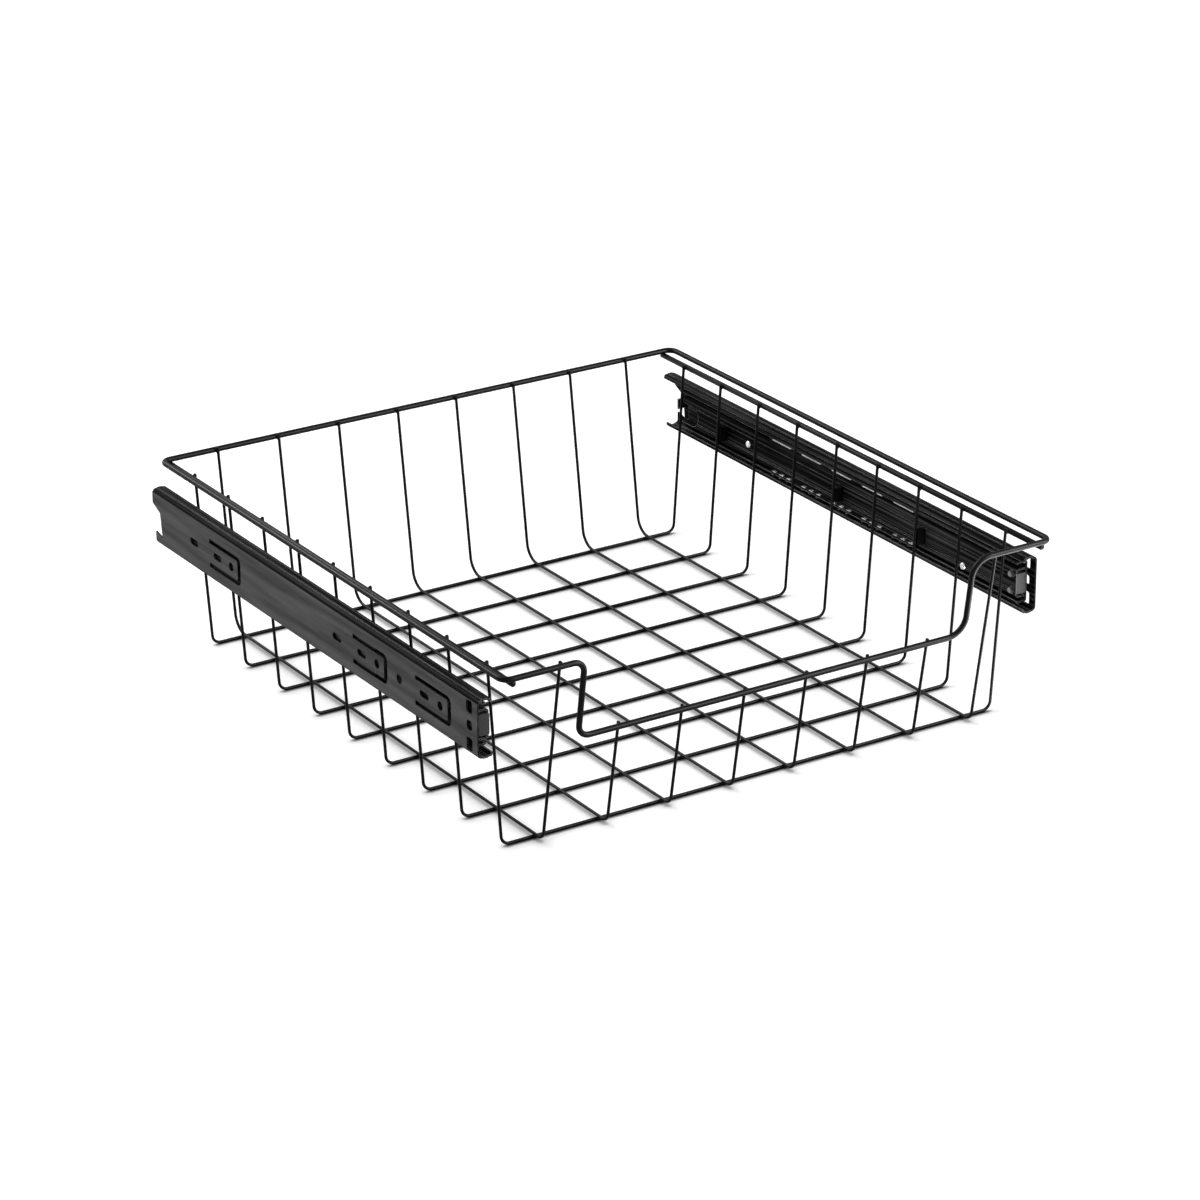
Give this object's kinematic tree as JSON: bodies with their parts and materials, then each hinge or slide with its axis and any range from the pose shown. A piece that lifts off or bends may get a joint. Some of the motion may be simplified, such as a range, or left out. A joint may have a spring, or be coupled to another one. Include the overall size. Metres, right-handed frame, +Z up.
{
  "type": "sliding fruit drawer",
  "caption": "Wire mesh fruit basket with a dipped front, carried between two ball-bearing telescopic slides that screw to the cabinet walls.",
  "frame": {"origin": "centre of the whole object's footprint, on the surface that the basket stands on", "axes": "+X to the right as seen from the front, +Y to the back of the cabinet, +Z up; the drawer opens towards -Y"},
  "size_m": [0.452, 0.476, 0.1397],
  "materials": {
    "powder_coat": "black powder coat, satin, fine texture",
    "slide_steel": "rolled steel, black electrophoretic coat, matte",
    "cage_strip": "thin pressed strip, zinc plated",
    "bearing_steel": "polished bearing balls",
    "buffer_plastic": "moulded grey plastic",
    "rivet_steel": "black coated steel",
    "zinc_steel": "bright zinc plated steel"
  },
  "bodies": {
    "cabinet_rails": {"left_outer_member": "slide_steel", "right_outer_member": "slide_steel"},
    "basket": {"rim_wire": "powder_coat", "cross_wire_1": "powder_coat", "cross_wire_2": "powder_coat", "cross_wire_3": "powder_coat", "cross_wire_4": "powder_coat", "cross_wire_5": "powder_coat", "cross_wire_6": "powder_coat", "cross_wire_7": "powder_coat", "cross_wire_8": "powder_coat", "cross_wire_9": "powder_coat", "long_wire_1": "powder_coat", "long_wire_2": "powder_coat", "long_wire_3": "powder_coat", "long_wire_4": "powder_coat", "long_wire_5": "powder_coat", "long_wire_6": "powder_coat", "long_wire_7": "powder_coat", "long_wire_8": "powder_coat", "left_side_wire": "powder_coat", "left_drawer_member": "slide_steel", "left_front_buffer": "buffer_plastic", "left_basket_lugs": "powder_coat", "left_lug_rivets": "rivet_steel", "left_web_rivets": "zinc_steel", "right_side_wire": "powder_coat", "right_drawer_member": "slide_steel", "right_front_buffer": "buffer_plastic", "right_basket_lugs": "powder_coat", "right_lug_rivets": "rivet_steel", "right_web_rivets": "zinc_steel"},
    "left_middle": {"left_middle_member": "slide_steel"},
    "left_outer_bearing": {"left_outer_cage": "cage_strip", "left_outer_balls": "bearing_steel"},
    "left_inner_bearing": {"left_inner_cage": "cage_strip", "left_inner_balls": "bearing_steel"},
    "right_middle": {"right_middle_member": "slide_steel"},
    "right_outer_bearing": {"right_outer_cage": "cage_strip", "right_outer_balls": "bearing_steel"},
    "right_inner_bearing": {"right_inner_cage": "cage_strip", "right_inner_balls": "bearing_steel"}
  },
  "joints": [
    {"name": "basket_slide", "type": "slide", "parent": "cabinet_rails", "child": "basket", "axis": [0, -1, 0], "range_m": [0, 0.42]},
    {"name": "left_middle_slide", "type": "slide", "parent": "cabinet_rails", "child": "left_middle", "axis": [0, -1, 0], "range_m": [0, 0.21]},
    {"name": "left_outer_bearing_roll", "type": "slide", "parent": "cabinet_rails", "child": "left_outer_bearing", "axis": [0, -1, 0], "range_m": [0, 0.105]},
    {"name": "left_inner_bearing_roll", "type": "slide", "parent": "left_middle", "child": "left_inner_bearing", "axis": [0, -1, 0], "range_m": [0, 0.105]},
    {"name": "right_middle_slide", "type": "slide", "parent": "cabinet_rails", "child": "right_middle", "axis": [0, -1, 0], "range_m": [0, 0.21]},
    {"name": "right_outer_bearing_roll", "type": "slide", "parent": "cabinet_rails", "child": "right_outer_bearing", "axis": [0, -1, 0], "range_m": [0, 0.105]},
    {"name": "right_inner_bearing_roll", "type": "slide", "parent": "right_middle", "child": "right_inner_bearing", "axis": [0, -1, 0], "range_m": [0, 0.105]}
  ],
  "couplings": [
    {"joint": "left_middle_slide", "follows": "basket_slide", "ratio": 0.5},
    {"joint": "left_outer_bearing_roll", "follows": "basket_slide", "ratio": 0.25},
    {"joint": "left_inner_bearing_roll", "follows": "basket_slide", "ratio": 0.25},
    {"joint": "right_middle_slide", "follows": "basket_slide", "ratio": 0.5},
    {"joint": "right_outer_bearing_roll", "follows": "basket_slide", "ratio": 0.25},
    {"joint": "right_inner_bearing_roll", "follows": "basket_slide", "ratio": 0.25}
  ]
}
